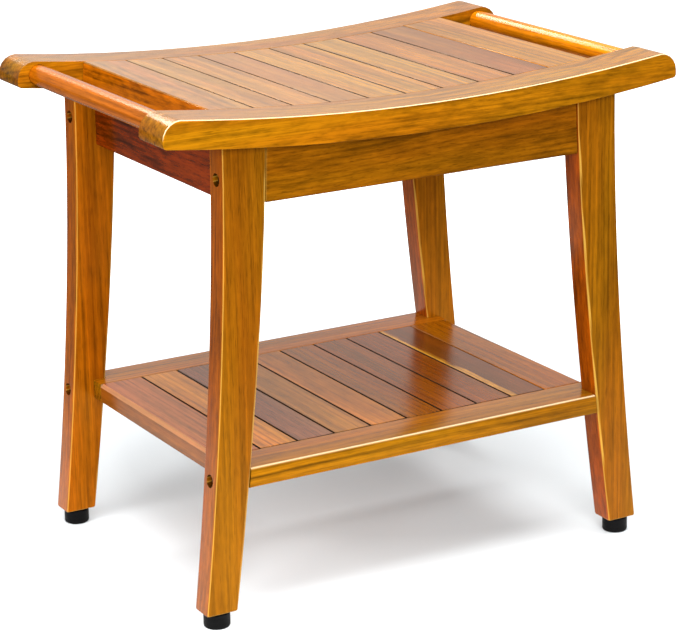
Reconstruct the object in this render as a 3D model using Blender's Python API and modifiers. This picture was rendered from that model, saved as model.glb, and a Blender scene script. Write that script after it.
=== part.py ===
"""A slatted teak shower stool with a dished seat, two carrying dowels and a lower shelf.

The long side runs along X, the front faces -Y, and the feet stand on Z = 0 under the
middle of the stool. Sizes are in metres. Every board, dowel, bolt, nut and foot is its
own closed object, and touching pieces keep GAP between them.
"""
import math

import bmesh
import bpy

# Fits and edges
GAP = 0.0003                 # between faces that touch
EDGE = 0.001                 # eased edges of boards
FRONT_EDGE = 0.005           # wide rounding along the outer top edges of the seat
SHELF_EDGE = 0.003           # the same of the shelf
SLAT_EDGE = 0.0006           # eased edges of slats
LEG_EDGE = 0.0022            # rounding of the legs' edges
SHARP_CORNER = 0.6           # radians between two faces from which an edge counts as sharp

# Seat
SEAT_LENGTH = 0.515          # along X, over the ends of the two rails
SEAT_DEPTH = 0.343           # along Y, over the outer faces of the two rails
SEAT_HEIGHT = 0.4435         # of the seat's lowest line, at the middle of its length
SEAT_RISE = 0.0168           # from the middle of the seat to the line through its ends
RAIL_WIDTH = 0.0452          # of a seat rail, along Y
RAIL_HEIGHT = 0.0250         # of a seat rail, along Z
RAIL_CORNER = 0.0165         # radius of a rail's upper end corners
RAIL_TOE = 0.003             # radius of its lower end corners
DISH_STEPS = 16              # straight steps that follow the dish from end to end

# Carrying dowels
DOWEL_DIAMETER = 0.0192
DOWEL_SETBACK = 0.0208       # from the end of a rail to the axis of the dowel
DOWEL_SOCKET = 0.020         # depth that the dowel is let into each rail
FINGER_GAP = 0.0336          # clear gap between the dowel and the nearest slat

# Slats of the seat and of the shelf
SLAT_COUNT = 10
SLAT_GAP = 0.0012
END_SLAT_EXTRA = 0.0052      # by which the first and the last slat are wider
SEAT_SLAT = 0.020            # thickness
TONGUE_LENGTH = 0.008
TONGUE_INSET = 0.003         # from the side of a slat to the side of its tongue
SEAT_TONGUE = 0.004          # thickness
SHELF_TONGUE = 0.006         # thickness

# Legs
LEG_OVERHANG = 0.0109        # of the seat rail over the leg's outer face, along Y
LEG_THICKNESS = 0.0245       # along Y
LEG_SETBACK = 0.0588         # from the end of the seat to the outer edge at the leg's top
LEG_TOP_WIDTH = 0.0415       # along X
LEG_FOOT_WIDTH = 0.0302      # along X
LEG_SPLAY = 0.0288           # by which the outer edge runs out from top to bottom
OUTER_FLARE = 1.75           # power of the outer edge's curve
INNER_FLARE = 1.47           # power of the inner edge's curve
LEG_STEPS = 12
LEG_TENON_WIDTH = 0.022      # along X
LEG_TENON_THICKNESS = 0.012  # along Y
LEG_TENON_LENGTH = 0.010

# Aprons
LONG_APRON_DEPTH = 0.0534    # under the leg's top
LONG_APRON_THICKNESS = 0.020
LONG_APRON_RECESS = 0.001    # behind the leg's outer face
END_APRON_DEPTH = 0.0574
END_APRON_THICKNESS = 0.018
END_APRON_SETBACK = 0.0783   # from the end of the seat to the apron's outer face
APRON_TENON_LENGTH = 0.0065
APRON_TENON_THICKNESS = 0.008
APRON_TENON_HEIGHT = 0.028
APRON_TENON_RISE = 0.012     # of the tenon over the apron's lower edge

# Shelf
SHELF_HEIGHT = 0.1434        # of its top
SHELF_THICKNESS = 0.018
SHELF_RAIL_WIDTH = 0.040     # along Y
SHELF_LAP = 0.0129           # by which the shelf runs past the leg's inner edge

# Bolts and barrel nuts
BOLT_DIAMETER = 0.006
BOLT_LENGTH = 0.055          # under the head
HEAD_DIAMETER = 0.010
HEAD_HEIGHT = 0.0045
HEAD_CHAMFER = 0.0006
SOCKET_DIAMETER = 0.0055     # over the corners of the hexagon
SOCKET_DEPTH = 0.0026
COUNTERBORE_DIAMETER = 0.0118
COUNTERBORE_DEPTH = 0.0085
BOLT_PAST_NUT = 0.001        # of the bolt's tip behind the barrel nut
NUT_DIAMETER = 0.010
NUT_LENGTH = 0.012
APRON_BOLT_RISE = 0.0228     # of the bolt over the long apron's lower edge

# Feet and their inserts
FOOT_DIAMETER = 0.0236
FOOT_HEIGHT = 0.014
FOOT_EDGE = 0.0022
STEM_DIAMETER = 0.008
STEM_LENGTH = 0.022
INSERT_DIAMETER = 0.0125
INSERT_LENGTH = 0.013
STEM_BORE_DEPTH = 0.030      # of the bore over the insert, from the leg's foot

# Facets of round pieces
ROUND_STEPS = 24
SMALL_STEPS = 16
CORNER_STEPS = 5
CUT_PAST = 0.004             # by which a cutter runs past the face that it opens
MERGE_DISTANCE = 1e-6        # under which corners of a blank become one
FACING = 0.99                # share of a face's normal along an axis from which it faces that way

# Colours: red, green, blue in linear light
GOLD = (0.56, 0.19, 0.022)
LEG_GOLD = (0.50, 0.17, 0.022)
ORANGE = (0.60, 0.15, 0.012)
SLAT_TAN = (0.66, 0.34, 0.15)
SLAT_PINK = (0.68, 0.33, 0.18)
SLAT_GREY = (0.56, 0.33, 0.19)
SLAT_BROWN = (0.44, 0.22, 0.12)
STEEL = (0.32, 0.30, 0.28)
ZINC = (0.55, 0.54, 0.50)
BRASS = (0.66, 0.45, 0.17)
BLACK = (0.012, 0.012, 0.013)
SEAT_TONES = (SLAT_PINK, SLAT_TAN, SLAT_TAN, SLAT_GREY, SLAT_TAN,
              SLAT_TAN, SLAT_TAN, SLAT_PINK, SLAT_BROWN, SLAT_TAN)
SHELF_TONES = (SLAT_GREY, SLAT_TAN, SLAT_GREY, SLAT_PINK, SLAT_TAN,
               SLAT_GREY, SLAT_BROWN, SLAT_BROWN, SLAT_GREY, SLAT_TAN)
LACQUER = 0.28               # roughness

# Places worked out from the sizes above
SEAT_END = SEAT_LENGTH / 2
RAIL_OUTER = SEAT_DEPTH / 2
RAIL_INNER = RAIL_OUTER - RAIL_WIDTH
RAIL_MIDDLE = RAIL_OUTER - RAIL_WIDTH / 2
DOWEL_X = SEAT_END - DOWEL_SETBACK
SEAT_SLATS_END = DOWEL_X - DOWEL_DIAMETER / 2 - FINGER_GAP
LEG_OUTER_Y = RAIL_OUTER - LEG_OVERHANG
LEG_INNER_Y = LEG_OUTER_Y - LEG_THICKNESS
LEG_MIDDLE_Y = LEG_OUTER_Y - LEG_THICKNESS / 2
LEG_TOP_OUTER = SEAT_END - LEG_SETBACK
LEG_TOP_INNER = LEG_TOP_OUTER - LEG_TOP_WIDTH
LEG_FOOT_OUTER = LEG_TOP_OUTER + LEG_SPLAY
LEG_FOOT_INNER = LEG_FOOT_OUTER - LEG_FOOT_WIDTH
LEG_FOOT_Z = FOOT_HEIGHT + GAP
FOOT_X = LEG_FOOT_OUTER - LEG_FOOT_WIDTH / 2
LEG_TENON_X = LEG_TOP_OUTER - LEG_TOP_WIDTH / 2
SHELF_RAIL_INNER = LEG_OUTER_Y - SHELF_RAIL_WIDTH
SHELF_MIDDLE_Z = SHELF_HEIGHT - SHELF_THICKNESS / 2
END_APRON_X = SEAT_END - END_APRON_SETBACK - END_APRON_THICKNESS / 2

ENDS = (("left", -1), ("right", 1))
SIDES = (("front", -1), ("back", 1))


def seat_top(x):
    """Height of the dished seat at x."""
    return SEAT_HEIGHT + SEAT_RISE * (x / SEAT_END) ** 2


def seat_slope(x):
    """Angle of the dished seat over the horizontal at x."""
    return math.atan(2 * SEAT_RISE * x / SEAT_END ** 2)


def rail_underside(x):
    return seat_top(x) - RAIL_HEIGHT


LEG_TOP = rail_underside(LEG_TOP_OUTER)
LONG_APRON_Z = LEG_TOP - LONG_APRON_DEPTH
END_APRON_Z = LEG_TOP - END_APRON_DEPTH


def leg_share(z):
    """How far down the leg z lies: 0 at its top and 1 at its foot."""
    return max(LEG_TOP - z, 0) / (LEG_TOP - LEG_FOOT_Z)


def leg_outer(z):
    return LEG_TOP_OUTER + LEG_SPLAY * leg_share(z) ** OUTER_FLARE


def leg_inner(z):
    return LEG_TOP_INNER + (LEG_FOOT_INNER - LEG_TOP_INNER) * leg_share(z) ** INNER_FLARE


SHELF_END = leg_inner(SHELF_HEIGHT) + SHELF_LAP


def steps(start, end, count):
    """count + 1 evenly spaced values from start to end."""
    return [start + (end - start) * i / count for i in range(count + 1)]


def arc(centre, radius, start, end, count):
    """Points on an arc about centre, between two angles in degrees."""
    return [(centre[0] + radius * math.cos(math.radians(a)), centre[1] + radius * math.sin(math.radians(a)))
            for a in steps(start, end, count)]


# Scene, materials and objects

def clear_scene():
    for obj in list(bpy.data.objects):
        bpy.data.objects.remove(obj, do_unlink=True)


def collection_named(name):
    collection = bpy.data.collections.new(name)
    bpy.context.scene.collection.children.link(collection)
    return collection


def paint(obj, colour, roughness=LACQUER, metallic=0.0):
    """Give the object a Principled material of its own."""
    material = bpy.data.materials.new(obj.name)
    material.use_nodes = True
    shader = material.node_tree.nodes["Principled BSDF"]
    shader.inputs["Base Color"].default_value = (*colour, 1)
    shader.inputs["Roughness"].default_value = roughness
    shader.inputs["Metallic"].default_value = metallic
    obj.data.materials.append(material)


def add_object(name, mesh, collection, location=(0, 0, 0), rotation=(0, 0, 0)):
    obj = bpy.data.objects.new(name, mesh)
    collection.objects.link(obj)
    obj.location = location
    obj.rotation_euler = rotation
    return obj


def add_cutter(name, mesh, location=(0, 0, 0), rotation=(0, 0, 0)):
    """An object that only cuts or joins others."""
    obj = add_object(name, mesh, CUTTERS, location, rotation)
    obj.hide_render = True
    obj.display_type = 'WIRE'
    return obj


# Meshes

def block_mesh(name, size):
    """A box centred on its origin."""
    mesh = bpy.data.meshes.new(name)
    bm = bmesh.new()
    bmesh.ops.create_cube(bm, size=1)
    bmesh.ops.scale(bm, vec=size, verts=bm.verts)
    bm.to_mesh(mesh)
    bm.free()
    return mesh


def board_mesh(name, outline, thickness):
    """A flat outline in the mesh's XY plane, thickened along Z about its origin."""
    curve = bpy.data.curves.new(name, 'CURVE')
    curve.dimensions = '2D'
    curve.fill_mode = 'BOTH'
    curve.extrude = thickness / 2
    spline = curve.splines.new('POLY')
    spline.points.add(len(outline) - 1)
    for point, (x, y) in zip(spline.points, outline):
        point.co = (x, y, 0, 1)
    spline.use_cyclic_u = True
    guide = add_cutter(name + "_outline", curve)
    evaluated = guide.evaluated_get(bpy.context.evaluated_depsgraph_get())
    mesh = bpy.data.meshes.new_from_object(evaluated)
    bpy.data.objects.remove(guide, do_unlink=True)
    bm = bmesh.new()
    bm.from_mesh(mesh)
    bmesh.ops.remove_doubles(bm, verts=bm.verts, dist=MERGE_DISTANCE)
    for side in (-1, 1):
        cap = [face for face in bm.faces if face.normal.z * side > FACING]
        bmesh.ops.dissolve_faces(bm, faces=cap)
    bmesh.ops.recalc_face_normals(bm, faces=bm.faces)
    bm.to_mesh(mesh)
    bm.free()
    mesh.name = name
    return mesh


def profile_mesh(name, profile, closed=False):
    """A chain of edges in the XZ plane, to be turned about Z."""
    mesh = bpy.data.meshes.new(name)
    bm = bmesh.new()
    verts = [bm.verts.new((radius, 0, z)) for radius, z in profile]
    pairs = list(zip(verts, verts[1:]))
    if closed:
        pairs.append((verts[-1], verts[0]))
    for pair in pairs:
        bm.edges.new(pair)
    bm.to_mesh(mesh)
    bm.free()
    return mesh


# Modifiers

def turn(obj, count):
    """Turn the object's profile about its own Z axis."""
    screw = obj.modifiers.new("Turn", 'SCREW')
    screw.axis = 'Z'
    screw.angle = math.tau
    screw.steps = count
    screw.render_steps = count
    screw.use_merge_vertices = True
    screw.merge_threshold = MERGE_DISTANCE
    screw.use_smooth_shade = False


def ease(obj, width, weight=None, segments=1):
    """Round the sharp edges: weight(point) is the share of the width at an edge's middle."""
    bm = bmesh.new()
    bm.from_mesh(obj.data)
    layer = bm.edges.layers.float.new("bevel_weight_edge")
    for edge in bm.edges:
        if edge.is_convex and edge.calc_face_angle(0) > SHARP_CORNER:
            middle = (edge.verts[0].co + edge.verts[1].co) / 2
            edge[layer] = weight(middle) if weight else 1
    bm.to_mesh(obj.data)
    bm.free()
    bevel = obj.modifiers.new("Ease", 'BEVEL')
    bevel.limit_method = 'WEIGHT'
    bevel.width = width
    bevel.segments = segments


def cut(obj, cutter):
    boolean = obj.modifiers.new("Cut", 'BOOLEAN')
    boolean.operation = 'DIFFERENCE'
    boolean.object = cutter


def join(obj, addition):
    boolean = obj.modifiers.new("Join", 'BOOLEAN')
    boolean.operation = 'UNION'
    boolean.object = addition


def shade(obj):
    """Smooth round faces and keep the corners crisp."""
    obj.data.shade_smooth()
    obj.data.set_sharp_from_angle(angle=SHARP_CORNER)


UPRIGHT = (math.pi / 2, 0, 0)            # an outline's XY plane becomes XZ
SIDEWAYS = (math.pi / 2, 0, math.pi / 2)  # an outline's XY plane becomes YZ


def towards_end(end):
    """Rotation that turns a turned piece's +Z axis to the stool's end."""
    return (0, end * math.pi / 2, 0)


# Seat

def slat_edges(span):
    """Lines between slats, from -span to span, with wider slats at both ends."""
    inner = span - END_SLAT_EXTRA
    lines = steps(-inner, inner, SLAT_COUNT)
    return [-span] + lines[1:-1] + [span]


def rail_outline():
    """A seat rail from the front: dished, with round upper corners at its ends."""
    top_z = seat_top(SEAT_END) - seat_slope(SEAT_END) * RAIL_CORNER
    toe_z = rail_underside(SEAT_END)
    corner = arc((SEAT_END - RAIL_CORNER, top_z - RAIL_CORNER), RAIL_CORNER, 0, 90, CORNER_STEPS)
    toe = arc((SEAT_END - RAIL_TOE, toe_z + RAIL_TOE), RAIL_TOE, 270, 360, 2)
    reach = SEAT_END - RAIL_CORNER
    top = [(x, seat_top(x)) for x in steps(reach, -reach, DISH_STEPS)]
    reach = SEAT_END - RAIL_TOE
    bottom = [(x, rail_underside(x)) for x in steps(-reach, reach, DISH_STEPS)]
    right = toe[1:] + corner[:-1]
    left = [(-x, z) for x, z in reversed(right)]
    return right + top + left + bottom


def is_rail_top(point, side):
    """Whether an edge of a rail's blank lies on the outer face, above the lower corners."""
    return point.z * side < 0 and point.y > rail_underside(point.x) + RAIL_TOE


def add_seat_rails():
    groove_end = SEAT_SLATS_END - TONGUE_INSET + GAP
    groove_half = SEAT_TONGUE / 2 + GAP
    below = SEAT_SLAT / 2
    band = [(x, seat_top(x) - below + groove_half) for x in steps(groove_end, -groove_end, DISH_STEPS)]
    band += [(x, seat_top(x) - below - groove_half) for x in steps(-groove_end, groove_end, DISH_STEPS)]
    depth = TONGUE_LENGTH + GAP
    for side_name, side in SIDES:
        name = f"seat_rail_{side_name}"
        rail = add_object(name, board_mesh(name, rail_outline(), RAIL_WIDTH), PARTS,
                          (0, side * RAIL_MIDDLE, 0), UPRIGHT)
        ease(rail, FRONT_EDGE, lambda p, s=side: 1 if is_rail_top(p, s) else EDGE / FRONT_EDGE, 3)
        groove = add_cutter(name + "_groove", board_mesh("groove", band, depth + CUT_PAST),
                            (0, side * (RAIL_INNER + (depth - CUT_PAST) / 2), 0), UPRIGHT)
        cut(rail, groove)
        for end_name, end in ENDS:
            socket = add_cutter(f"{name}_socket_{end_name}", profile_mesh("socket", [
                (0, DOWEL_SOCKET + GAP), (DOWEL_DIAMETER / 2 + GAP, DOWEL_SOCKET + GAP),
                (DOWEL_DIAMETER / 2 + GAP, -CUT_PAST), (0, -CUT_PAST)]),
                (end * DOWEL_X, side * RAIL_INNER, dowel_z()), (-side * math.pi / 2, 0, 0))
            turn(socket, ROUND_STEPS)
            cut(rail, socket)
            mortise = add_cutter(f"{name}_mortise_{end_name}", block_mesh("mortise", (
                LEG_TENON_WIDTH + 2 * GAP, LEG_TENON_THICKNESS + 2 * GAP, 2 * (LEG_TENON_LENGTH + GAP))),
                (end * LEG_TENON_X, side * LEG_MIDDLE_Y, rail_underside(LEG_TENON_X)))
            cut(rail, mortise)
        shade(rail)
        paint(rail, GOLD)


def dowel_z():
    return rail_underside(DOWEL_X) + RAIL_HEIGHT / 2


def add_dowels():
    half = RAIL_INNER + DOWEL_SOCKET
    radius = DOWEL_DIAMETER / 2
    profile = [(0, half), (radius - EDGE, half), (radius, half - EDGE),
               (radius, EDGE - half), (radius - EDGE, -half), (0, -half)]
    for end_name, end in ENDS:
        name = f"handle_dowel_{end_name}"
        dowel = add_object(name, profile_mesh(name, profile), PARTS,
                           (end * DOWEL_X, 0, dowel_z()), (math.pi / 2, 0, 0))
        turn(dowel, ROUND_STEPS)
        shade(dowel)
        paint(dowel, ORANGE)


def add_slat(name, left, right, length, thickness, tongue, place, tilt, span, outer_edge):
    """One slat across the stool: outer_edge rounds its long edge where it ends the field."""
    width = right - left - SLAT_GAP
    middle = (left + right) / 2
    if left == -span:
        width += SLAT_GAP / 2
        middle -= SLAT_GAP / 4
    if right == span:
        width += SLAT_GAP / 2
        middle += SLAT_GAP / 4
    slat = add_object(name, block_mesh(name, (width, length, thickness)), PARTS,
                      (middle, 0, place(middle) - thickness / 2), (0, -tilt(middle), 0))
    outer = -1 if left == -span else 1 if right == span else 0
    share = SLAT_EDGE / outer_edge
    ease(slat, outer_edge, lambda p: 1 if p.x * outer > width / 3 and p.z > 0 else share)
    tongues = add_cutter(name + "_tongues", block_mesh("tongues", (
        width - 2 * TONGUE_INSET, length + 2 * (TONGUE_LENGTH + GAP), tongue)),
        slat.location, slat.rotation_euler)
    join(slat, tongues)
    return slat


def add_seat_slats():
    lines = slat_edges(SEAT_SLATS_END)
    for i, (left, right) in enumerate(zip(lines, lines[1:])):
        slat = add_slat(f"seat_slat_{i + 1:02}", left, right, 2 * (RAIL_INNER - GAP), SEAT_SLAT,
                        SEAT_TONGUE, seat_top, seat_slope, SEAT_SLATS_END, EDGE)
        paint(slat, SEAT_TONES[i % len(SEAT_TONES)])


# Legs

def leg_outline(end, spread=0.0):
    """A leg from the front, for the left or right end, grown along X by spread."""
    heights = steps(LEG_TOP - GAP, LEG_FOOT_Z, LEG_STEPS)
    outer = [(leg_outer(z) + spread, z) for z in heights]
    inner = [(leg_inner(z) - spread, z) for z in reversed(heights)]
    inner[-1] = (inner[-1][0], rail_underside(LEG_TOP_INNER) - GAP)
    return [(end * x, z) for x, z in outer + inner]


def bolt_places():
    """Name, height and nut distance of the two bolts through each leg."""
    return (("apron", LONG_APRON_Z + APRON_BOLT_RISE), ("shelf", SHELF_MIDDLE_Z))


def bolt_seat(z):
    """X of the face under a bolt's head, at the bottom of the counterbore."""
    return leg_outer(z) - COUNTERBORE_DEPTH


def nut_x(z):
    """X of a barrel nut's axis."""
    return bolt_seat(z) - BOLT_LENGTH + BOLT_PAST_NUT + NUT_DIAMETER / 2


def bolt_bore(name, end, side, z):
    """A stepped cutter: counterbore, then a clearance hole past the bolt's tip."""
    wide = COUNTERBORE_DIAMETER / 2
    narrow = BOLT_DIAMETER / 2 + GAP
    reach = COUNTERBORE_DEPTH + CUT_PAST
    tip = BOLT_LENGTH + BOLT_PAST_NUT
    bore = add_cutter(name, profile_mesh("bolt_bore", [
        (0, reach), (wide, reach), (wide, 0), (narrow, 0), (narrow, -tip), (0, -tip)]),
        (end * bolt_seat(z), side * LEG_MIDDLE_Y, z), towards_end(end))
    turn(bore, SMALL_STEPS)
    return bore


def add_legs():
    for side_name, side in SIDES:
        for end_name, end in ENDS:
            name = f"leg_{side_name}_{end_name}"
            leg = add_object(name, board_mesh(name, leg_outline(end), LEG_THICKNESS), PARTS,
                             (0, side * LEG_MIDDLE_Y, 0), UPRIGHT)
            ease(leg, LEG_EDGE, segments=2)
            top = rail_underside(LEG_TENON_X)
            tenon = add_cutter(name + "_tenon", block_mesh("tenon", (
                LEG_TENON_WIDTH, LEG_TENON_THICKNESS, 2 * LEG_TENON_LENGTH)),
                (end * LEG_TENON_X, side * LEG_MIDDLE_Y, top))
            join(leg, tenon)
            for place, z in bolt_places():
                cut(leg, BORES[(side_name, end_name, place)])
            cut(leg, apron_mortise(name, end, side))
            cut(leg, foot_bore(name, end, side))
            shade(leg)
            paint(leg, LEG_GOLD)


def apron_mortise(name, end, side):
    """The pocket for the end apron's tenon, open on the leg's inner face."""
    depth = APRON_TENON_LENGTH + 2 * GAP
    return add_cutter(name + "_mortise", block_mesh("apron_mortise", (
        APRON_TENON_THICKNESS + 2 * GAP, depth + CUT_PAST, APRON_TENON_HEIGHT + 2 * GAP)),
        (end * END_APRON_X, side * (LEG_INNER_Y + (depth - CUT_PAST) / 2), apron_tenon_z()))


def apron_tenon_z():
    return END_APRON_Z + APRON_TENON_RISE + APRON_TENON_HEIGHT / 2


def foot_bore(name, end, side):
    """A stepped cutter up the leg's foot: pocket for the insert, bore for the stem."""
    wide = INSERT_DIAMETER / 2 + GAP
    narrow = STEM_DIAMETER / 2 + 2 * GAP
    bore = add_cutter(name + "_foot_bore", profile_mesh("foot_bore", [
        (0, STEM_BORE_DEPTH), (narrow, STEM_BORE_DEPTH), (narrow, INSERT_LENGTH + 2 * GAP),
        (wide, INSERT_LENGTH + 2 * GAP), (wide, -CUT_PAST), (0, -CUT_PAST)]),
        (end * FOOT_X, side * LEG_MIDDLE_Y, LEG_FOOT_Z))
    turn(bore, SMALL_STEPS)
    return bore


# Aprons

def long_apron_outline():
    """A long apron from the front: it follows the rail above and the legs at both ends."""
    heights = steps(LONG_APRON_Z, rail_underside(LEG_TOP_INNER) - GAP, 3)
    right = [(leg_inner(z) - GAP, z) for z in heights]
    reach = right[-1][0]
    top = [(x, rail_underside(x) - GAP) for x in steps(reach, -reach, DISH_STEPS)]
    left = [(-x, z) for x, z in reversed(right)]
    return right[:-1] + top + left[1:]


def add_long_aprons():
    middle = LEG_OUTER_Y - LONG_APRON_RECESS - LONG_APRON_THICKNESS / 2
    bolt_z = LONG_APRON_Z + APRON_BOLT_RISE
    for side_name, side in SIDES:
        name = f"apron_{side_name}"
        apron = add_object(name, board_mesh(name, long_apron_outline(), LONG_APRON_THICKNESS), PARTS,
                           (0, side * middle, 0), UPRIGHT)
        ease(apron, EDGE)
        inner_face = middle - LONG_APRON_THICKNESS / 2
        bottom = LEG_MIDDLE_Y + NUT_LENGTH / 2 + GAP
        for end_name, end in ENDS:
            cut(apron, BORES[(side_name, end_name, "apron")])
            pocket = nut_pocket(f"{name}_nut_{end_name}", bottom - inner_face,
                                (end * nut_x(bolt_z), side * bottom, bolt_z), (side * math.pi / 2, 0, 0))
            cut(apron, pocket)
        shade(apron)
        paint(apron, GOLD)


def nut_pocket(name, depth, bottom, rotation):
    """A blind bore for a barrel nut, from its bottom out through the board's face."""
    radius = NUT_DIAMETER / 2 + GAP
    pocket = add_cutter(name, profile_mesh("nut_pocket", [
        (0, depth + CUT_PAST), (radius, depth + CUT_PAST), (radius, 0), (0, 0)]), bottom, rotation)
    turn(pocket, SMALL_STEPS)
    return pocket


def end_apron_outline():
    """An end apron from the side: it stands up between the rails, under the slats."""
    inner_x = END_APRON_X - END_APRON_THICKNESS / 2
    slat_rise = 2 * math.sin(seat_slope(inner_x)) * SEAT_SLAT
    under_slats = seat_top(inner_x) - SEAT_SLAT - slat_rise / 2 - GAP
    under_rail = rail_underside(inner_x) - GAP
    end_y = LEG_INNER_Y - GAP
    step_y = RAIL_INNER - GAP
    half = [(end_y, END_APRON_Z), (end_y, under_rail), (step_y, under_rail), (step_y, under_slats)]
    return half + [(-y, z) for y, z in reversed(half)]


def add_end_aprons():
    for end_name, end in ENDS:
        name = f"apron_{end_name}"
        apron = add_object(name, board_mesh(name, end_apron_outline(), END_APRON_THICKNESS), PARTS,
                           (end * END_APRON_X, 0, 0), SIDEWAYS)
        ease(apron, EDGE)
        tenons = add_cutter(name + "_tenons", block_mesh("apron_tenons", (
            APRON_TENON_THICKNESS, 2 * (LEG_INNER_Y + APRON_TENON_LENGTH), APRON_TENON_HEIGHT)),
            (end * END_APRON_X, 0, apron_tenon_z()))
        join(apron, tenons)
        shade(apron)
        paint(apron, LEG_GOLD)


# Shelf

def add_shelf_rails():
    groove_depth = TONGUE_LENGTH + GAP
    groove_end = SHELF_END - TONGUE_INSET + GAP
    middle = LEG_OUTER_Y - SHELF_RAIL_WIDTH / 2
    for side_name, side in SIDES:
        name = f"shelf_rail_{side_name}"
        rail = add_object(name, block_mesh(name, (2 * SHELF_END, SHELF_RAIL_WIDTH, SHELF_THICKNESS)), PARTS,
                          (0, side * middle, SHELF_MIDDLE_Z))
        share = EDGE / SHELF_EDGE
        ease(rail, SHELF_EDGE, lambda p, s=side: 1 if p.y * s > 0 and p.z > 0 else share, 2)
        groove = add_cutter(name + "_groove", block_mesh("shelf_groove", (
            2 * groove_end, groove_depth + CUT_PAST, SHELF_TONGUE + 2 * GAP)),
            (0, side * (SHELF_RAIL_INNER + (groove_depth - CUT_PAST) / 2), SHELF_MIDDLE_Z))
        cut(rail, groove)
        for end_name, end in ENDS:
            notch = add_cutter(f"{name}_notch_{end_name}", board_mesh(
                "leg_notch", leg_outline(end, GAP), LEG_THICKNESS + GAP + CUT_PAST),
                (0, side * (LEG_MIDDLE_Y + (CUT_PAST - GAP) / 2), 0), UPRIGHT)
            cut(rail, notch)
            cut(rail, BORES[(side_name, end_name, "shelf")])
            bottom = SHELF_MIDDLE_Z + NUT_LENGTH / 2 + GAP
            depth = bottom - SHELF_HEIGHT + SHELF_THICKNESS
            pocket = nut_pocket(f"{name}_nut_{end_name}", depth,
                                (end * nut_x(SHELF_MIDDLE_Z), side * LEG_MIDDLE_Y, bottom), (math.pi, 0, 0))
            cut(rail, pocket)
        shade(rail)
        paint(rail, GOLD)


def add_shelf_slats():
    lines = slat_edges(SHELF_END)
    for i, (left, right) in enumerate(zip(lines, lines[1:])):
        slat = add_slat(f"shelf_slat_{i + 1:02}", left, right, 2 * (SHELF_RAIL_INNER - GAP),
                        SHELF_THICKNESS, SHELF_TONGUE, lambda x: SHELF_HEIGHT, lambda x: 0, SHELF_END,
                        SHELF_EDGE)
        paint(slat, SHELF_TONES[i % len(SHELF_TONES)])


# Hardware

def add_bolts_and_nuts():
    head = HEAD_DIAMETER / 2
    shank = BOLT_DIAMETER / 2
    bolt_profile = [(0, HEAD_HEIGHT), (head - HEAD_CHAMFER, HEAD_HEIGHT), (head, HEAD_HEIGHT - HEAD_CHAMFER),
                    (head, GAP), (shank, GAP), (shank, HEAD_CHAMFER - BOLT_LENGTH),
                    (shank - HEAD_CHAMFER, -BOLT_LENGTH), (0, -BOLT_LENGTH)]
    half = NUT_LENGTH / 2
    nut_profile = [(0, half), (NUT_DIAMETER / 2, half), (NUT_DIAMETER / 2, -half), (0, -half)]
    hole = BOLT_DIAMETER / 2 + GAP
    for side_name, side in SIDES:
        for end_name, end in ENDS:
            for place, z in bolt_places():
                spot = f"{side_name}_{end_name}_{place}"
                bolt = add_object("bolt_" + spot, profile_mesh("bolt_" + spot, bolt_profile), PARTS,
                                  (end * bolt_seat(z), side * LEG_MIDDLE_Y, z), towards_end(end))
                turn(bolt, SMALL_STEPS)
                socket = add_cutter(bolt.name + "_socket", profile_mesh("hexagon", [
                    (0, HEAD_HEIGHT + CUT_PAST), (SOCKET_DIAMETER / 2, HEAD_HEIGHT + CUT_PAST),
                    (SOCKET_DIAMETER / 2, HEAD_HEIGHT - SOCKET_DEPTH), (0, HEAD_HEIGHT - SOCKET_DEPTH)]),
                    bolt.location, bolt.rotation_euler)
                turn(socket, 6)
                cut(bolt, socket)
                shade(bolt)
                paint(bolt, STEEL, 0.35, 1.0)

                lying = (math.pi / 2, 0, 0) if place == "apron" else (0, 0, 0)
                nut = add_object("barrel_nut_" + spot, profile_mesh("barrel_nut_" + spot, nut_profile), PARTS,
                                 (end * nut_x(z), side * LEG_MIDDLE_Y, z), lying)
                turn(nut, SMALL_STEPS)
                thread = add_cutter(nut.name + "_thread", profile_mesh("thread", [
                    (0, NUT_DIAMETER), (hole, NUT_DIAMETER), (hole, -NUT_DIAMETER), (0, -NUT_DIAMETER)]),
                    nut.location, towards_end(end))
                turn(thread, SMALL_STEPS)
                cut(nut, thread)
                shade(nut)
                paint(nut, ZINC, 0.4, 1.0)


def add_feet():
    """Screw-in levelling feet, each in an insert in the leg's foot."""
    stem = STEM_DIAMETER / 2
    pad = FOOT_DIAMETER / 2
    stem_top = LEG_FOOT_Z + STEM_LENGTH
    edge = arc((pad - FOOT_EDGE, FOOT_EDGE), FOOT_EDGE, 0, -90, 4)
    foot_profile = [(0, stem_top), (stem - EDGE, stem_top), (stem, stem_top - EDGE), (stem, FOOT_HEIGHT),
                    (pad - EDGE, FOOT_HEIGHT), (pad, FOOT_HEIGHT - EDGE)] + edge + [(0, 0)]
    bore = stem + GAP
    wall = INSERT_DIAMETER / 2
    insert_profile = [(bore, INSERT_LENGTH), (wall, INSERT_LENGTH), (wall, 0), (bore, 0)]
    for side_name, side in SIDES:
        for end_name, end in ENDS:
            spot = f"{side_name}_{end_name}"
            place = (end * FOOT_X, side * LEG_MIDDLE_Y)
            foot = add_object("foot_" + spot, profile_mesh("foot_" + spot, foot_profile), PARTS, (*place, 0))
            turn(foot, ROUND_STEPS)
            shade(foot)
            paint(foot, BLACK, 0.5)
            insert = add_object("insert_" + spot, profile_mesh("insert_" + spot, insert_profile, closed=True),
                                PARTS, (*place, LEG_FOOT_Z + GAP))
            turn(insert, SMALL_STEPS)
            shade(insert)
            paint(insert, BRASS, 0.35, 1.0)


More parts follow.
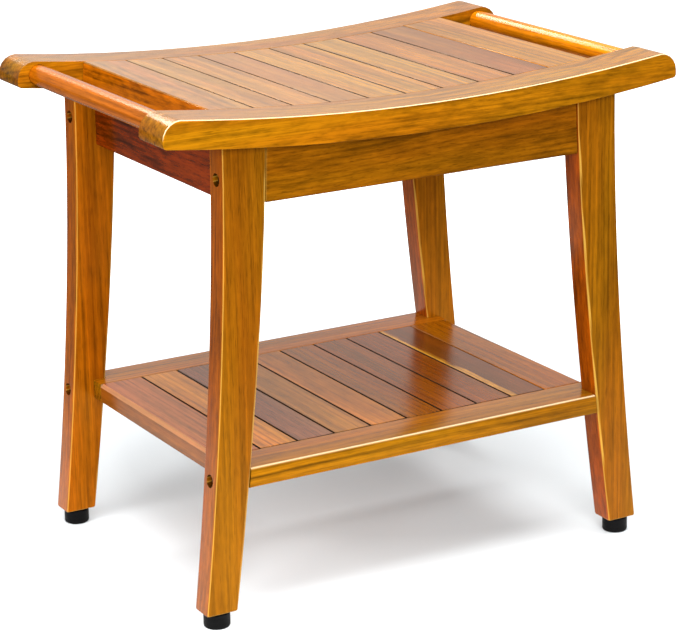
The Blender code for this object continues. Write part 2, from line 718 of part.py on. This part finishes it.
clear_scene()
PARTS = collection_named("shower_stool")
CUTTERS = collection_named("cutters")
BORES = {(side_name, end_name, place): bolt_bore(f"bolt_bore_{side_name}_{end_name}_{place}", end, side, z)
         for side_name, side in SIDES for end_name, end in ENDS for place, z in bolt_places()}
add_seat_rails()
add_dowels()
add_seat_slats()
add_legs()
add_long_aprons()
add_end_aprons()
add_shelf_rails()
add_shelf_slats()
add_bolts_and_nuts()
add_feet()
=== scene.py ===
"""Looks of the slatted teak shower stool: lacquered boards, steel bolts, rubber feet, floor and light."""
import math

import bpy
from mathutils import Matrix, Vector


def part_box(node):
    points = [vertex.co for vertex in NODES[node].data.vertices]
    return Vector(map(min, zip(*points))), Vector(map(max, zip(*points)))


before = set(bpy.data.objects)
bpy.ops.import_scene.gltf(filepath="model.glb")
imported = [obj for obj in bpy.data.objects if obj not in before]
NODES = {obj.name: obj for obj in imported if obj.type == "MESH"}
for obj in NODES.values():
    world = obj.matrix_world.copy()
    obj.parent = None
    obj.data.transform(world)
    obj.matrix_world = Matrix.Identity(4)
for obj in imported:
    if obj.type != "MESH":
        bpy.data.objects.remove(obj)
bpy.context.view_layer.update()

# Camera, as the stool is seen from its front left corner and a little above
CAMERA_AZIMUTH = 29.508      # degrees from the front, towards the left
CAMERA_ELEVATION = 16.889
CAMERA_ROLL = -1.114
CAMERA_DISTANCE = 2.3986     # metres from the point that it looks at
CAMERA_TARGET = Vector((0.0003, 0.0, 0.2063))
CAMERA_LENS = 135.70         # millimetres
SENSOR_WIDTH = 36            # millimetres

# Colours, in linear light
GOLD = (0.318, 0.112, 0.0020)
OLIVE = (0.246, 0.076, 0.0015)
AMBER = (0.390, 0.098, 0.0015)
LIGHT_AMBER = (0.640, 0.185, 0.0020)
RED_BROWN = (0.165, 0.019, 0.0008)
SAPWOOD = (0.780, 0.340, 0.0300)
# The cream and yellow below are painted highlights, drawn on rounded edges where gloss would catch the
# light
HIGHLIGHT_CREAM = (0.860, 0.640, 0.3800)
HIGHLIGHT_YELLOW = (0.680, 0.410, 0.0700)
SEAM = (0.012, 0.005, 0.0015)
# Narrow faces, and GOLD on the shelf rails' sides: colours apart from the tops, partly the wood's own tone
# and partly painted light and shade
SLAT_SIDE = (0.480, 0.114, 0.0015)
SHELF_SIDE = (0.222, 0.062, 0.0050)
SEAT_RAIL_SIDE = (0.335, 0.116, 0.0020)
BLACK_STEEL = (0.008, 0.005, 0.0035)
ZINC = (0.55, 0.54, 0.50)
BRASS = (0.66, 0.45, 0.17)
RUBBER = (0.002, 0.002, 0.0022)
# Tops of the rails, coloured apart from their sides: partly the wood's own tone, partly painted light and
# shade
RAIL_TOPS = {
    "seat_rail_front": (0.294, 0.112, 0.0020),
    "seat_rail_back": (0.340, 0.124, 0.0020),
    "shelf_rail_front": (0.280, 0.090, 0.0020),
    "shelf_rail_back": (0.350, 0.100, 0.0020),
}
LEG_TONES = {
    "leg_front_left": (0.255, 0.080, 0.0020),
    "leg_front_right": (0.275, 0.091, 0.0020),
    "leg_back_left": (0.315, 0.080, 0.0015),
    "leg_back_right": (0.308, 0.091, 0.0020),
}
# The legs' faces along X, coloured apart from their fronts: partly the wood's own tone, partly painted
# light and shade
LEG_SIDES = {
    "leg_front_left": (0.268, 0.058, 0.0005),
    "leg_front_right": (0.320, 0.055, 0.0005),
    "leg_back_left": (0.340, 0.084, 0.0005),
    "leg_back_right": (0.365, 0.064, 0.0005),
}
SEAT_TONES = (                  # left to right
    (0.320, 0.124, 0.012), (0.376, 0.150, 0.012), (0.345, 0.140, 0.012), (0.283, 0.108, 0.012),
    (0.360, 0.148, 0.010), (0.357, 0.141, 0.010), (0.309, 0.123, 0.010), (0.299, 0.107, 0.010),
    (0.217, 0.075, 0.010), (0.374, 0.142, 0.010))
SHELF_TONES = (                 # left to right
    (0.340, 0.096, 0.020), (0.500, 0.160, 0.006), (0.185, 0.062, 0.024), (0.320, 0.104, 0.006),
    (0.415, 0.124, 0.002), (0.262, 0.069, 0.001), (0.238, 0.057, 0.001), (0.224, 0.051, 0.001),
    (0.166, 0.038, 0.002), (0.302, 0.076, 0.001))

# Scale of each pattern in the teak, along the grain and then twice across it
WANDER_SCALE = (2.2, 9, 9)
RING_PATCH_SCALE = (3, 25, 25)
STREAK_SCALE = (1.8, 75, 75)
BROAD_SCALE = (1.4, 16, 16)
LINE_SCALE = (2.4, 330, 330)
FIBRE_SCALE = (9, 1000, 1000)
MOTTLE_SCALE = (45, 190, 190)
PORE_SCALE = (70, 1500, 1500)
HUE_SCALE = (3, 32, 32)
SAP_SCALE = (40, 12, 40)        # in the stool's own axes
WANDER_REACH = (0.0, 0.012, 0.012)      # metres

# Growth rings
RING_SCALE = 62
RING_DISTORTION = 5.0
RING_DETAIL = 2
RING_DETAIL_SCALE = 0.10
RING_SHARPNESS = 2.2
RING_STRENGTH = (0.25, 1.0)     # in the weakest and the strongest patches

# Range of a noise that is used: its values seldom lie outside it
MIDDLE = (0.30, 0.70)
WIDE = (0.25, 0.75)
WIDEST = (0.20, 0.80)
NARROW = (0.35, 0.65)
HUE_RANGE = (0.32, 0.68)
STREAK_RANGE = (0.42, 0.70)
PORE_RANGE = (0.60, 0.72)

# What each pattern does, from the low end of its noise to the high end
BROAD_DARK = (-0.12, 0.30)      # share of the dark tone that it adds
MOTTLE_DARK = (-0.5, 0.5)
LINE_DARK = (-0.10, 0.16)
FIBRE_SHADE = (0.82, 1.16)      # factor on the colour
LINE_SHADE = (1.24, 0.74)
PORE_SHADE = (1.0, 0.66)
GREEN_DRIFT = (0.87, 1.11)      # factor on its green
FIBRE_ROUGHNESS = (0.13, 0.21)
BROAD_ROUGHNESS = (0.0, 0.05)
FIBRE_HEIGHT = 0.5              # against a pore's depth of 1

# Each board's place in its tree
TREE_STEP = 1.37                # metres along the trunk from one board to the next
GOLDEN_ANGLE = 2.399963         # radians round the trunk from one board to the next

# How far a face looks along an axis, at the start and at the full strength of what is drawn on it
# The OUTER and UPRIGHT pairs place the painted edge highlights, and SEAM_UPWARD the slats' dark seams
OUTER_START = (0.08, 0.30)      # a rounded outer edge, where its top begins
OUTER_END = (0.98, 0.85)        # and where its side begins
OUTER_UPWARD = (0.10, 0.35)
SEAM_UPWARD = (0.95, 0.72)
UPRIGHT_EDGE = (0.98, 0.88)
UPRIGHT_ONLY = (0.45, 0.30)
END_FACING = (0.6, 0.9)
# The BORE pairs find the walls of the bolt holes in the legs, and painted shade darkens them by the last
# factor
BORE_SIDEWAYS = (0.3, 0.1)
BORE_FORWARD = (0.97, 0.90)
NARROW_FACES = {2: (0.7, 0.3), 0: (0.3, 0.7)}
END_GRAIN_SHADE = 0.66
BORE_PAINTED_SHADE = 0.30
SIDE_DARK_SHARE = 0.7           # a narrow face's dark tone, against the wide face's

# Pale sapwood along one edge of a board
SAP_WIDTH = (0.001, 0.007)      # metres
SAP_FADE = 0.003                # metres
SAP_STRENGTH = 0.85

# Surface
TEAK_IOR = 1.5
BLUE_OF_TINT = 0.26
TEAK_BUMP = 0.12
PLAIN_BUMP = 0.15
BUMP_DISTANCE = 0.0002          # metres
PLAIN_SHADE = (0.75, 1.2)
PLAIN_ROUGHNESS = (0.8, 1.25)   # factors on the roughness
PLAIN_PATCHES = 8               # size of a patch of tone, against the fine grain
RUBBER_GLOSS = 0.12
WELD_DISTANCE = 1e-6            # metres
SMOOTH_ANGLE = 0.62             # radians between two faces, above which their edge is sharp
NORMAL_WEIGHT = 100

# Floor and background
FLOOR_HALF = 12.0               # metres
FLOOR_SEEN = (0.62, 0.65, 0.665, 1)
FLOOR_MIRRORED = (0.62, 0.10)   # brightness near the stool and away from it
MIRROR_FALL = (0.35, 0.85)      # metres from the middle of the stool
GLOW_CENTRE = (0.17, 0.19, 0.0)
GLOW_RISE = (0.28, 0.92)        # metres from the glow's centre
FLOOR_ROUGHNESS = 0.9
FLOOR_GLOSS = 0.1
WORLD_STRENGTH = 0.30
BACKGROUND_STRENGTH = 1.1

# Lamps: name, place, point aimed at, size, watts, and whether gloss mirrors it
LAMPS = (
    ("overhead", (0.05, -0.48, 2.1), (0.0, 0.0, 0.3), (2.4, 1.2), 72, True),
    ("front_key", (-0.7, -1.95, 1.15), (0, 0, 0.25), (1.2, 0.9), 58, False),
    ("left_fill", (-1.9, -0.3, 1.0), (0, 0, 0.25), (1.0, 1.0), 27, False),
    ("left_strip", (-0.85, -0.5, 0.28), (0, 0, 0.2), (0.15, 0.5), 3.0, False),
    ("right_fill", (1.9, 0.9, 0.9), (0, 0, 0.25), (1.0, 1.0), 8, False),
    ("back_strip", (0.1, 1.9, 1.75), (0, 0, 0.4), (1.2, 0.22), 20.0, True),
    ("back_panel", (1.18, 2.08, 1.25), (0, 0, 0.35), (3.2, 1.9), 10, True),
)


# Node helpers

class Tree:
    """Short calls for building a node tree."""

    def __init__(self, tree):
        self.tree = tree

    def add(self, kind, **settings):
        node = self.tree.nodes.new(kind)
        for key, value in settings.items():
            setattr(node, key, value)
        return node

    def put(self, value, socket):
        """Link a socket, or set a plain value."""
        if isinstance(value, bpy.types.NodeSocket):
            self.tree.links.new(value, socket)
        else:
            socket.default_value = value

    def math(self, operation, a, b=0.0, clamp=False):
        node = self.add('ShaderNodeMath', operation=operation, use_clamp=clamp)
        self.put(a, node.inputs[0])
        self.put(b, node.inputs[1])
        return node.outputs[0]

    def noise(self, vector, detail=2.0, roughness=0.5, scale=1, colour=False):
        node = self.add('ShaderNodeTexNoise')
        self.put(vector, node.inputs['Vector'])
        node.inputs['Scale'].default_value = scale
        node.inputs['Detail'].default_value = detail
        node.inputs['Roughness'].default_value = roughness
        return node.outputs['Color' if colour else 'Fac']

    def stretch(self, vector, scale):
        """Multiply a vector by another, axis by axis."""
        node = self.add('ShaderNodeVectorMath', operation='MULTIPLY')
        self.put(vector, node.inputs[0])
        self.put(scale, node.inputs[1])
        return node.outputs[0]

    def dim(self, colour, factor):
        node = self.add('ShaderNodeVectorMath', operation='SCALE')
        self.put(colour, node.inputs[0])
        self.put(factor, node.inputs['Scale'])
        return node.outputs[0]

    def span(self, value, low, high, to_low=0.0, to_high=1.0):
        """Map low..high onto to_low..to_high, clamped."""
        node = self.add('ShaderNodeMapRange', clamp=True)
        self.put(value, node.inputs['Value'])
        ends = (('From Min', low), ('From Max', high), ('To Min', to_low), ('To Max', to_high))
        for name, number in ends:
            self.put(number, node.inputs[name])
        return node.outputs['Result']

    def mix(self, factor, a, b):
        node = self.add('ShaderNodeMix', data_type='RGBA')
        self.put(factor, node.inputs['Factor'])
        self.put(a, node.inputs['A'])
        self.put(b, node.inputs['B'])
        return node.outputs['Result']

    def bump(self, height, strength, shader):
        node = self.add('ShaderNodeBump')
        node.inputs['Strength'].default_value = strength
        node.inputs['Distance'].default_value = BUMP_DISTANCE
        self.put(height, node.inputs['Height'])
        self.put(node.outputs['Normal'], shader.inputs['Normal'])


def new_material(name):
    """A node material, its tree and its shader."""
    material = bpy.data.materials.new(name)
    material.use_nodes = True
    return material, Tree(material.node_tree), material.node_tree.nodes["Principled BSDF"]


def darker(colour, share):
    return tuple(c * share for c in colour)


# Teak

def teak_group():
    """Colour, roughness and bump height of teak whose grain runs along X."""
    group = bpy.data.node_groups.new("teak", 'ShaderNodeTree')
    for name, kind in (("Vector", 'Vector'), ("Light", 'Color'), ("Dark", 'Color'), ("Figure", 'Float'),
                       ("Streaks", 'Float'), ("Mottle", 'Float')):
        group.interface.new_socket(name, in_out='INPUT', socket_type='NodeSocket' + kind)
    for name, kind in (("Colour", 'Color'), ("Roughness", 'Float'), ("Height", 'Float')):
        group.interface.new_socket(name, in_out='OUTPUT', socket_type='NodeSocket' + kind)
    t = Tree(group)
    inputs = t.add('NodeGroupInput').outputs
    result = t.add('NodeGroupOutput').inputs
    place = inputs['Vector']

    # The growth rings wander a little along the board, and show more in some patches
    wander = t.noise(t.stretch(place, WANDER_SCALE), colour=True)
    shift = t.add('ShaderNodeVectorMath', operation='MULTIPLY_ADD')
    t.put(wander, shift.inputs[0])
    shift.inputs[1].default_value = WANDER_REACH
    t.put(place, shift.inputs[2])
    bent = shift.outputs[0]
    rings = t.add('ShaderNodeTexWave', wave_type='RINGS', rings_direction='X', wave_profile='SIN')
    t.put(bent, rings.inputs['Vector'])
    rings.inputs['Scale'].default_value = RING_SCALE
    rings.inputs['Distortion'].default_value = RING_DISTORTION
    rings.inputs['Detail'].default_value = RING_DETAIL
    rings.inputs['Detail Scale'].default_value = RING_DETAIL_SCALE
    ring = t.math('POWER', rings.outputs['Fac'], RING_SHARPNESS)
    ring_strength = t.span(t.noise(t.stretch(place, RING_PATCH_SCALE)), *NARROW, *RING_STRENGTH)

    # Streaks, fibres, mottling and open pores, each drawn out along the grain
    streak = t.noise(t.stretch(bent, STREAK_SCALE), 4, 0.65)
    broad = t.noise(t.stretch(bent, BROAD_SCALE))
    line = t.noise(t.stretch(bent, LINE_SCALE), 3, 0.7)
    fibre = t.noise(t.stretch(place, FIBRE_SCALE), 3, 0.6)
    mottle = t.noise(t.stretch(place, MOTTLE_SCALE), 3, 0.6)
    pore = t.span(t.noise(t.stretch(place, PORE_SCALE), 1), *PORE_RANGE)

    dark = t.math('MULTIPLY', t.math('MULTIPLY', ring, ring_strength), inputs['Figure'])
    dark = t.math('ADD', dark, t.math('MULTIPLY', t.span(streak, *STREAK_RANGE), inputs['Streaks']))
    dark = t.math('ADD', dark, t.span(broad, *MIDDLE, *BROAD_DARK))
    patches = t.span(mottle, *MIDDLE, *MOTTLE_DARK)
    dark = t.math('ADD', dark, t.math('MULTIPLY', patches, inputs['Mottle']))
    dark = t.math('ADD', dark, t.span(line, *MIDDLE, *LINE_DARK), clamp=True)
    colour = t.mix(dark, inputs['Light'], inputs['Dark'])

    hue = t.add('ShaderNodeCombineXYZ')
    hue.inputs[0].default_value = 1.0
    t.put(t.span(t.noise(t.stretch(place, HUE_SCALE)), *HUE_RANGE, *GREEN_DRIFT), hue.inputs[1])
    hue.inputs[2].default_value = 1.0
    shade = t.span(fibre, *WIDE, *FIBRE_SHADE)
    shade = t.math('MULTIPLY', shade, t.span(line, *WIDE, *LINE_SHADE))
    shade = t.math('MULTIPLY', shade, t.span(pore, 0, 1, *PORE_SHADE))
    t.put(t.dim(t.stretch(colour, hue.outputs[0]), shade), result['Colour'])

    fine_gloss = t.span(fibre, *WIDEST, *FIBRE_ROUGHNESS)
    broad_gloss = t.span(broad, *MIDDLE, *BROAD_ROUGHNESS)
    t.put(t.math('ADD', fine_gloss, broad_gloss), result['Roughness'])
    t.put(t.math('SUBTRACT', t.math('MULTIPLY', fibre, FIBRE_HEIGHT), pore), result['Height'])
    return group


TEAK = teak_group()


def edge_mask(t, shape, normal, facing, outer):
    """Where rounded edges take the edge colour: painted highlight on most boards, dark seam on slats."""
    if shape in ("rail", "end_slat"):
        across = 1 if shape == "rail" else 0
        outward = t.math('MULTIPLY', normal[across], outer)
        rounded = t.math('MULTIPLY', t.span(outward, *OUTER_START), t.span(outward, *OUTER_END))
        return t.math('MULTIPLY', rounded, t.span(normal[2], *OUTER_UPWARD))
    if shape == "slat":
        return t.span(facing[2], *SEAM_UPWARD)
    largest = t.math('MAXIMUM', facing[0], facing[1])
    return t.math('MULTIPLY', t.span(largest, *UPRIGHT_EDGE), t.span(facing[2], *UPRIGHT_ONLY))


def teak(name, light, grain, seed, edge_highlight_and_seam, dark=0.42, figure=0.35, streaks=0.55, mottle=0.4, centre=0.09,
         tilt=0.0, edge=HIGHLIGHT_YELLOW, shape="board", outer=-1, side=None, side_axis=2, sap=None, tint=0.48,
         gloss=0.5):
    """Lacquered teak for one board.

    light is its colour, and dark how much of that its dark streaks keep. grain is the axis that it runs
    along, tilt turns it by an angle, and centre is the board's distance from the middle of the tree, where
    seed picks its place. edge is the colour painted on its rounded edges, as strongly as the argument after
    seed says: a painted highlight on most boards and a dark seam on slats; shape picks which edges, and
    outer is the side that they are on. side is the colour of its narrow faces: those that don't face along
    Z, or where side_axis is 0, those that face along X. It is partly the wood's own tone and partly painted
    light and shade, set apart from the wide faces' colour to match how lit each face looks. sap is the X of
    a pale sapwood edge.
    tint is how much green and blue the gloss keeps, and gloss is how strong it is.
    """
    material, t, shader = new_material(name)
    coordinates = t.add('ShaderNodeTexCoord').outputs
    mapping = t.add('ShaderNodeMapping', vector_type='POINT')
    t.put(coordinates['Object'], mapping.inputs['Vector'])
    turn = {"X": (0, 0, 0), "Y": (0, 0, -math.pi / 2), "Z": (0, math.pi / 2, 0)}[grain]
    mapping.inputs['Rotation'].default_value = (turn[0], turn[1], turn[2] + tilt)
    angle = seed * GOLDEN_ANGLE
    mapping.inputs['Location'].default_value = (
        seed * TREE_STEP, centre * math.cos(angle), centre * math.sin(angle))

    # How far each face looks along each axis
    raw = t.add('ShaderNodeSeparateXYZ')
    t.put(coordinates['Normal'], raw.inputs[0])
    facing = [t.math('ABSOLUTE', raw.outputs[axis]) for axis in range(3)]
    rounded = edge_mask(t, shape, raw.outputs, facing, outer)
    shade = t.span(facing["XYZ".index(grain)], *END_FACING, 1.0, END_GRAIN_SHADE)
    # Painted shade: the walls of the bolt holes in the legs are darkened
    if shape == "leg":
        painted_bore_shade = t.math('MULTIPLY', t.span(facing[0], *BORE_SIDEWAYS), t.span(facing[1], *BORE_FORWARD))
        shade = t.math('MULTIPLY', shade, t.span(painted_bore_shade, 0.0, 1.0, 1.0, BORE_PAINTED_SHADE))

    light_tone = (*light, 1)
    dark_tone = (*darker(light, dark), 1)
    # Narrow faces take their own colour: partly the wood's own tone, partly painted light and shade
    if side:
        narrow = t.span(facing[side_axis], *NARROW_FACES[side_axis])
        light_tone = t.mix(narrow, light_tone, (*side, 1))
        dark_tone = t.mix(narrow, dark_tone, (*darker(side, dark * SIDE_DARK_SHARE), 1))
    if sap is not None:
        position = t.add('ShaderNodeSeparateXYZ')
        t.put(coordinates['Object'], position.inputs[0])
        ragged = t.span(t.noise(t.stretch(coordinates['Object'], SAP_SCALE), 3), *MIDDLE, *SAP_WIDTH)
        inside = t.math('SUBTRACT', t.math('SUBTRACT', position.outputs[0], sap), ragged)
        light_tone = t.mix(t.span(inside, 0.0, SAP_FADE, SAP_STRENGTH, 0.0), light_tone, (*SAPWOOD, 1))

    board = t.add('ShaderNodeGroup', node_tree=TEAK)
    for socket, value in (("Vector", mapping.outputs['Vector']), ("Light", light_tone), ("Dark", dark_tone),
                          ("Figure", figure), ("Streaks", streaks), ("Mottle", mottle)):
        t.put(value, board.inputs[socket])
    # Mix the edge colour in on the rounded edges: a painted highlight on most boards, a dark seam on slats
    edge_share = t.math('MULTIPLY', rounded, edge_highlight_and_seam)
    wood = t.dim(board.outputs['Colour'], shade)
    t.put(t.mix(edge_share, wood, (*edge, 1)), shader.inputs['Base Color'])
    t.put(board.outputs['Roughness'], shader.inputs['Roughness'])
    t.bump(board.outputs['Height'], TEAK_BUMP, shader)
    shader.inputs['IOR'].default_value = TEAK_IOR
    shader.inputs['Specular IOR Level'].default_value = gloss
    shader.inputs['Specular Tint'].default_value = (1.0, tint, tint * tint * BLUE_OF_TINT, 1)
    return material


def plain(name, colour, roughness, grain_scale, metallic=1.0, gloss=0.5):
    """Metal or rubber with a fine mottled surface."""
    material, t, shader = new_material(name)
    place = t.add('ShaderNodeTexCoord').outputs['Object']
    fine = t.noise(place, 3, scale=grain_scale)
    broad = t.noise(place, scale=grain_scale / PLAIN_PATCHES)
    t.put(t.dim(colour, t.span(broad, *MIDDLE, *PLAIN_SHADE)), shader.inputs['Base Color'])
    low, high = (roughness * factor for factor in PLAIN_ROUGHNESS)
    t.put(t.span(fine, *MIDDLE, low, high), shader.inputs['Roughness'])
    t.bump(fine, PLAIN_BUMP, shader)
    shader.inputs['Metallic'].default_value = metallic
    shader.inputs['Specular IOR Level'].default_value = gloss
    return material


def material_for(node, seed):
    kind = node.split("_")[0]
    outer = 1 if "back" in node else -1
    if node.startswith("seat_rail"):
        return teak(node, RAIL_TOPS[node], "X", seed, edge_highlight_and_seam=0.75, edge=HIGHLIGHT_CREAM, shape="rail", outer=outer,
                    mottle=0.7, streaks=0.4, side=SEAT_RAIL_SIDE)
    if node.startswith("shelf_rail"):
        return teak(node, RAIL_TOPS[node], "X", seed, edge_highlight_and_seam=0.75, edge=HIGHLIGHT_CREAM, shape="rail", outer=outer,
                    side=GOLD)
    if node == "handle_dowel_left":
        return teak(node, AMBER, "Y", seed, edge_highlight_and_seam=0.0, tint=1.0)
    if node == "handle_dowel_right":
        return teak(node, LIGHT_AMBER, "Y", seed, edge_highlight_and_seam=0.0, gloss=0.15)
    if node in ("seat_slat_01", "seat_slat_10"):
        tone = SEAT_TONES[int(node[-2:]) - 1]
        mottle = 0.9 if node.endswith("01") else 0.3
        return teak(node, tone, "Y", seed, edge_highlight_and_seam=0.0, side=SLAT_SIDE, figure=0.5, mottle=mottle)
    if node in ("shelf_slat_01", "shelf_slat_10"):
        tone = SHELF_TONES[int(node[-2:]) - 1]
        return teak(node, tone, "Y", seed, edge_highlight_and_seam=0.16, edge=HIGHLIGHT_CREAM, shape="end_slat",
                    outer=-1 if node.endswith("01") else 1, side=SHELF_SIDE)
    if node.startswith("seat_slat"):
        tone = SEAT_TONES[int(node[-2:]) - 1]
        return teak(node, tone, "Y", seed, edge_highlight_and_seam=1.0, edge=SEAM, shape="slat", side=SLAT_SIDE)
    if node.startswith("shelf_slat"):
        tone = SHELF_TONES[int(node[-2:]) - 1]
        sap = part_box(node)[0][0] if node.endswith("09") else None
        return teak(node, tone, "Y", seed, edge_highlight_and_seam=1.0, edge=SEAM, shape="slat", side=SHELF_SIDE, sap=sap)
    if kind == "leg":
        return teak(node, LEG_TONES[node], "Z", seed, edge_highlight_and_seam=0.9, shape="leg", side=LEG_SIDES[node],
                    side_axis=0)
    if node in ("apron_front", "apron_back"):
        return teak(node, OLIVE, "X", seed, edge_highlight_and_seam=0.1, figure=0.4, centre=0.03, tilt=0.08)
    if kind == "apron":
        return teak(node, RED_BROWN, "Y", seed, edge_highlight_and_seam=0.1, dark=0.2, figure=0.5, streaks=0.9, mottle=0.6,
                    tilt=0.10)
    if kind == "bolt":
        return plain(node, BLACK_STEEL, 0.35, 900)
    if kind == "barrel":
        return plain(node, ZINC, 0.4, 900)
    if kind == "insert":
        return plain(node, BRASS, 0.35, 900)
    return plain(node, RUBBER, 0.5, 700, metallic=0.0, gloss=RUBBER_GLOSS)


# Smooth round edges, flat faces

def smoothing_group():
    """Smooth faces, with an edge sharp where its two faces meet at more than the angle."""
    group = bpy.data.node_groups.new("smooth_by_angle", 'GeometryNodeTree')
    group.interface.new_socket("Geometry", in_out='INPUT', socket_type='NodeSocketGeometry')
    group.interface.new_socket("Geometry", in_out='OUTPUT', socket_type='NodeSocketGeometry')
    t = Tree(group)
    weld = t.add('GeometryNodeMergeByDistance')
    t.put(t.add('NodeGroupInput').outputs[0], weld.inputs['Geometry'])
    weld.inputs['Distance'].default_value = WELD_DISTANCE
    faces = t.add('GeometryNodeSetShadeSmooth', domain='FACE')
    t.put(weld.outputs[0], faces.inputs['Geometry'])
    edge_angle = t.add('GeometryNodeInputMeshEdgeAngle').outputs['Unsigned Angle']
    compare = t.add('FunctionNodeCompare', operation='LESS_EQUAL')
    t.put(edge_angle, compare.inputs[0])
    compare.inputs[1].default_value = SMOOTH_ANGLE
    edges = t.add('GeometryNodeSetShadeSmooth', domain='EDGE')
    t.put(faces.outputs[0], edges.inputs['Geometry'])
    t.put(compare.outputs[0], edges.inputs['Shade Smooth'])
    t.put(edges.outputs[0], t.add('NodeGroupOutput').inputs[0])
    return group


SMOOTHING = smoothing_group()


def finish_surface(node, material):
    obj = NODES[node]
    obj.data.materials.clear()
    obj.data.materials.append(material)
    smooth = obj.modifiers.new("Smooth", 'NODES')
    smooth.node_group = SMOOTHING
    weighted = obj.modifiers.new("Normals", 'WEIGHTED_NORMAL')
    weighted.keep_sharp = True
    weighted.weight = NORMAL_WEIGHT


for seed, node in enumerate(sorted(NODES), 1):
    finish_surface(node, material_for(node, seed))


# Floor, light and camera

def add_floor():
    """A pale sweep: white to the camera, dimmer away from the stool in its gloss, and clear from below."""
    mesh = bpy.data.meshes.new("floor")
    half = FLOOR_HALF
    corners = [(-half, -half, 0), (half, -half, 0), (half, half, 0), (-half, half, 0)]
    mesh.from_pydata(corners, [], [(0, 1, 2, 3)])
    floor = bpy.data.objects.new("floor", mesh)
    bpy.context.scene.collection.objects.link(floor)
    material, t, shader = new_material("floor")
    place = t.add('ShaderNodeTexCoord').outputs['Object']
    seen = t.add('ShaderNodeLightPath').outputs['Is Camera Ray']
    distance = t.add('ShaderNodeVectorMath', operation='LENGTH')
    t.put(place, distance.inputs[0])
    mirrored = t.span(distance.outputs['Value'], *MIRROR_FALL, *FLOOR_MIRRORED)
    t.put(t.mix(seen, mirrored, FLOOR_SEEN), shader.inputs['Base Color'])
    shifted = t.add('ShaderNodeVectorMath', operation='DISTANCE')
    t.put(place, shifted.inputs[0])
    shifted.inputs[1].default_value = GLOW_CENTRE
    glow = t.span(shifted.outputs['Value'], *GLOW_RISE)
    t.put(t.math('MULTIPLY', seen, glow), shader.inputs['Emission Strength'])
    shader.inputs['Emission Color'].default_value = (1, 1, 1, 1)
    underneath = t.add('ShaderNodeNewGeometry').outputs['Backfacing']
    t.put(t.math('SUBTRACT', 1.0, underneath), shader.inputs['Alpha'])
    shader.inputs['Roughness'].default_value = FLOOR_ROUGHNESS
    shader.inputs['Specular IOR Level'].default_value = FLOOR_GLOSS
    mesh.materials.append(material)


def add_area(name, place, aim, size, power, mirrored):
    """A soft lamp, which the gloss shows only where mirrored."""
    light = bpy.data.lights.new(name, 'AREA')
    light.shape = 'RECTANGLE'
    light.size, light.size_y = size
    light.energy = power
    lamp = bpy.data.objects.new(name, light)
    lamp.location = place
    lamp.rotation_euler = (Vector(aim) - Vector(place)).to_track_quat('-Z', 'Y').to_euler()
    lamp.visible_camera = False
    lamp.visible_glossy = mirrored
    bpy.context.scene.collection.objects.link(lamp)


def add_world():
    """Dim even light all round, behind a background that is white to look at."""
    world = bpy.data.worlds.new("studio")
    world.use_nodes = True
    t = Tree(world.node_tree)
    background = world.node_tree.nodes["Background"]
    background.inputs['Color'].default_value = (1, 1, 1, 1)
    seen = t.add('ShaderNodeLightPath').outputs['Is Camera Ray']
    t.put(t.span(seen, 0, 1, WORLD_STRENGTH, BACKGROUND_STRENGTH), background.inputs['Strength'])
    bpy.context.scene.world = world


def add_camera():
    azimuth, elevation, roll = (math.radians(a) for a in (CAMERA_AZIMUTH, CAMERA_ELEVATION, CAMERA_ROLL))
    forward = Vector((math.sin(azimuth) * math.cos(elevation), math.cos(azimuth) * math.cos(elevation),
                      -math.sin(elevation)))
    right = Vector((math.cos(azimuth), -math.sin(azimuth), 0))
    up = right.cross(forward)
    level = right * math.cos(roll) + up * math.sin(roll)
    upright = up * math.cos(roll) - right * math.sin(roll)
    lens = bpy.data.cameras.new("camera")
    lens.sensor_width = SENSOR_WIDTH
    lens.lens = CAMERA_LENS
    camera = bpy.data.objects.new("camera", lens)
    turn = Matrix((level, upright, -forward)).transposed().to_4x4()
    camera.matrix_world = Matrix.Translation(CAMERA_TARGET - forward * CAMERA_DISTANCE) @ turn
    bpy.context.scene.collection.objects.link(camera)
    bpy.context.scene.camera = camera


add_floor()
add_world()
for lamp in LAMPS:
    add_area(*lamp)
add_camera()
bpy.context.scene.view_settings.view_transform = 'Standard'
bpy.context.scene.view_settings.look = 'None'
